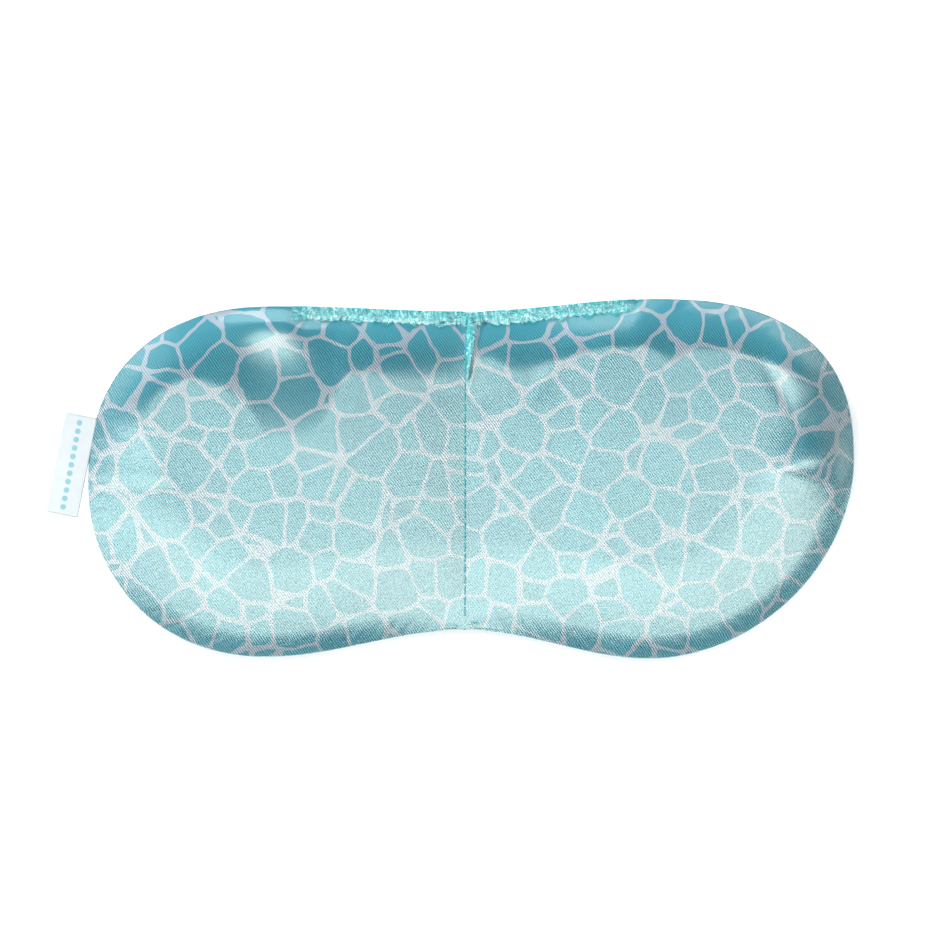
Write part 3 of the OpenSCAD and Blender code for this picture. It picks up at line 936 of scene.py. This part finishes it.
def ribbon_material():
    """White satin ribbon with fine ribs across it, and one row of printed dots in place of lettering."""
    material, tree = new_material("ribbon")
    n = Nodes(tree)
    place = stored(n, "ribbon")
    axes = n.axes(place)
    row = n.math("PINGPONG", axes["X"], DOT_PITCH / 2)
    aside = n.math("SUBTRACT", axes["Y"], LABEL_OUT - DOT_ROW)
    away = n.math("SQRT", n.math("ADD", n.math("MULTIPLY", row, row), n.math("MULTIPLY", aside, aside)))
    dot = n.step(away, DOT_RADIUS + DOT_SOFT, DOT_RADIUS - DOT_SOFT)
    inside = n.math("LESS_THAN", n.math("ABSOLUTE", axes["X"]), LABEL_LENGTH / 2 - DOT_PITCH / 2)
    upper = n.math("GREATER_THAN", axes["Z"], 0.0)
    dot = n.math("MULTIPLY", dot, n.math("MULTIPLY", inside, upper))
    rib = n.swing(n.math("MULTIPLY", axes["X"], 2 * math.pi / RIBBON_LOOKS["rib"]))
    cloudy = n.noise(place, 1 / RIBBON_LOOKS["cloud"], 2.0).outputs["Fac"]
    white = n.mix(cloudy, RIBBON_LOOKS["thin"], RIBBON_LOOKS["thick"])
    dot = n.math("MULTIPLY", dot, RIBBON_LOOKS["dot_strength"])
    colour = n.mix(dot, white, RIBBON_LOOKS["dot"])
    finish(n, colour, rib, RIBBON_LOOKS["relief"], Roughness=0.38, Transmission_Weight=0.12,
           Coat_Weight=0.15)
    return material


def cotton_material():
    """Undyed plain-woven cotton of the inner pouches."""
    material, tree = new_material("pouch_cotton")
    n = Nodes(tree)
    place = stored(n, "cloth")
    axes = n.axes(place)
    wobble = n.noise(place, 1 / COTTON_LOOKS["wander_size"], 2.0).outputs["Fac"]
    wander = n.math("MULTIPLY", wobble, COTTON_LOOKS["wander"])
    rate = 2 * math.pi / COTTON_LOOKS["pitch"]
    warp, weft = (n.math("SINE", n.math("MULTIPLY_ADD", axes[key], rate, wander)) for key in ("X", "Y"))
    weave = n.math("MULTIPLY_ADD", n.math("MULTIPLY", warp, weft), 0.5, 0.5)
    slub = n.noise(n.vector("MULTIPLY", place, COTTON_LOOKS["slub_scale"]), 1.0, 3.0).outputs["Fac"]
    colour = n.mix(weave, COTTON_LOOKS["gap"], COTTON_LOOKS["yarn"])
    slub = n.math("MULTIPLY", slub, COTTON_LOOKS["slub_share"])
    colour = n.mix(slub, colour, COTTON_LOOKS["slub"])
    finish(n, colour, weave, COTTON_LOOKS["relief"], Roughness=COTTON_LOOKS["roughness"])
    return material


def seed_material():
    """Flax seeds packed together: each one a small brown grain."""
    material, tree = new_material("seeds")
    n = Nodes(tree)
    place = stored(n, "cloth")
    length, width = SEED_LOOKS["length"], SEED_LOOKS["width"]
    grains = n.voronoi(n.vector("MULTIPLY", place, (1 / length, 1 / width, 1 / width)), 1.0, "F1")
    out = grains.outputs["Distance"]
    tint = n.add("ShaderNodeSeparateColor", {"Color": grains.outputs["Color"]}).outputs["Red"]
    rounded = n.math("SUBTRACT", 1.0, n.math("MULTIPLY", out, out))
    brown = n.mix(tint, SEED_LOOKS["dark"], SEED_LOOKS["light"])
    # The near-black gaps between the grains are painted shade.
    colour = n.mix(n.step(out, *SEED_LOOKS["edge"]), brown, SEED_LOOKS["gap"])
    finish(n, colour, rounded, SEED_LOOKS["relief"], Roughness=SEED_LOOKS["roughness"])
    return material


SATIN_FRONT = satin("satin_front")
SATIN_BACK = satin("satin_back", BACK_PRINT_SHIFT)
THREAD_LOOK = thread_material()
RIBBON_LOOK = ribbon_material()
COTTON = cotton_material()
FLAX = seed_material()


# ---------------------------------------------------------------- bodies


def across_fold(obj, material, nodes):
    """A piece across the centre seam: it gets its material, its placement is made part of its mesh, and the
    CAD nodes it stands for are hidden.
    """
    dress(obj, material)
    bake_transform(obj)
    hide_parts(*nodes)


def on_body(obj, body, material, nodes):
    """A piece that rides on one body."""
    dress(obj, material)
    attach(obj, body)
    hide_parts(*nodes)


across_fold(front, SATIN_FRONT, ("front_panel_left", "front_panel_right", "fold_strip"))
across_fold(back, SATIN_BACK, ("back_panel_left", "back_panel_right"))
for piece, nodes in STITCHES:
    across_fold(piece, THREAD_LOOK, nodes)
for side in LOBES:
    pouch_nodes = (f"pouch_front_{side}", f"pouch_back_{side}")
    on_body(POUCHES[side], f"{side}_lobe", COTTON, pouch_nodes)
    on_body(SEEDS[side], f"{side}_lobe", FLAX, (f"seed_fill_{side}",))
on_body(label, "label", RIBBON_LOOK, ("side_label",))


# ---------------------------------------------------------------- stage, metres

FLOOR_Z = -0.0002
FLOOR = {"radius": 2.9, "wall": 0.4, "sides": 96, "curve_steps": 10}
FLOOR_COLOUR = (0.85, 0.85, 0.85, 1)
FLOOR_ROUGHNESS = 0.9
FLOOR_GLOW = 0.4

WATTS_PER_RADIANCE = 4.0    # for a lamp of one square metre
LAMP_HEIGHT = 2.0
SHEEN_RADIANCE = 3.9
FILL_RADIANCE = 2.35
KEY_RADIANCE = 26
LOW_RADIANCE = 8.5
SHEEN_SIDES = (-75, 62, -54, 7)     # west, east, south and north, in degrees from straight up
FILL_SIDES = (-28, 28, -28, 28)
WEST_LAMP = {"location": (-6, -0.5, 0.85), "target": (0, -0.5, 0.85), "size": (3, 1.3)}
KEY_LAMP = {"location": (-1.9, 2.1, 1.1), "target": (0, 0, 0), "size": (1.4, 0.9)}
LOW_LAMP = {"location": (-0.8, -2.6, 1.0), "target": (0, 0, 0), "size": (1.4, 0.9)}
WORLD_COLOUR = (0.97, 0.985, 1, 1)
WORLD_STRENGTH = 0.2

VIEW_WIDTH = 0.261
VIEW_DISTANCE = 1.2
VIEW_OVER = (0.3, 3.8, 8)   # the point that the camera is straight above, mm in mask coordinates
SENSOR = 36.0


def area_light(name, location, target, size, radiance, gloss=True, shade=True):
    """A rectangular lamp. With gloss or shade False it isn't reflected, or doesn't light what is matt."""
    lamp = bpy.data.lights.new(name, "AREA")
    lamp.shape = "RECTANGLE"
    lamp.size, lamp.size_y = size
    lamp.energy = WATTS_PER_RADIANCE * radiance * size[0] * size[1]
    obj = bpy.data.objects.new(name, lamp)
    obj.visible_glossy = gloss
    obj.visible_diffuse = shade
    obj.location = location
    obj.rotation_mode = "QUATERNION"
    obj.rotation_quaternion = (Vector(target) - Vector(location)).to_track_quat("-Z", "Y")
    bpy.context.scene.collection.objects.link(obj)


def overhead(name, sides, radiance, **kinds):
    """A level lamp over the mask, whose sides are at these angles from straight up."""
    x0, x1, y0, y1 = (LAMP_HEIGHT * math.tan(math.radians(angle)) for angle in sides)
    middle = ((x0 + x1) / 2, (y0 + y1) / 2)
    area_light(name, (*middle, LAMP_HEIGHT), (*middle, 0), (x1 - x0, y1 - y0), radiance, **kinds)


def tray():
    """The floor: round, with an edge that curves up into a low wall."""
    radius, wall, sides = FLOOR["radius"], FLOOR["wall"], FLOOR["sides"]
    curve = np.radians(np.linspace(0, 90, FLOOR["curve_steps"]))
    profile = [(radius + wall * math.sin(a), wall * (1 - math.cos(a))) for a in curve]
    turn = np.linspace(0, 2 * math.pi, sides, endpoint=False)
    points = [(0, 0, FLOOR_Z)]
    for out, up in profile:
        points += [(out * math.cos(a), out * math.sin(a), FLOOR_Z + up) for a in turn]
    return new_object("floor", points, disc_faces(sides, len(profile), -1))


def floor_material():
    """Plain matt white with a little glow of its own."""
    material, tree = new_material("floor")
    n = Nodes(tree)
    shader = n.add("ShaderNodeBsdfPrincipled", {"Base Color": FLOOR_COLOUR, "Roughness": FLOOR_ROUGHNESS,
                                                "Emission Color": (1, 1, 1, 1),
                                                "Emission Strength": FLOOR_GLOW})
    n.add("ShaderNodeOutputMaterial", {"Surface": shader.outputs[0]})
    return material


def camera_above():
    """The photo's camera: straight above the mask and square to it."""
    data = bpy.data.cameras.new("camera")
    data.sensor_width = SENSOR
    data.lens = SENSOR * VIEW_DISTANCE / VIEW_WIDTH
    obj = bpy.data.objects.new("camera", data)
    over_x, over_y, level = VIEW_OVER
    obj.location = mask_to_world((over_x, over_y, level + VIEW_DISTANCE / MM))
    bpy.context.scene.collection.objects.link(obj)
    return obj


GLOSS = {"shade": False}
SHADE = {"gloss": False}
overhead("sheen_light", SHEEN_SIDES, SHEEN_RADIANCE, **GLOSS)
area_light("west_sheen_light", radiance=SHEEN_RADIANCE, **WEST_LAMP, **GLOSS)
overhead("fill_light", FILL_SIDES, FILL_RADIANCE, **SHADE)
area_light("key_light", radiance=KEY_RADIANCE, **KEY_LAMP, **SHADE)
area_light("low_light", radiance=LOW_RADIANCE, **LOW_LAMP, **SHADE)

world = bpy.data.worlds.new("studio")
world.use_nodes = True
world.node_tree.nodes["Background"].inputs["Color"].default_value = WORLD_COLOUR
world.node_tree.nodes["Background"].inputs["Strength"].default_value = WORLD_STRENGTH
bpy.context.scene.world = world

floor = tray()
dress(floor, floor_material())

bpy.context.scene.camera = camera_above()
bpy.context.scene.view_settings.view_transform = "Standard"
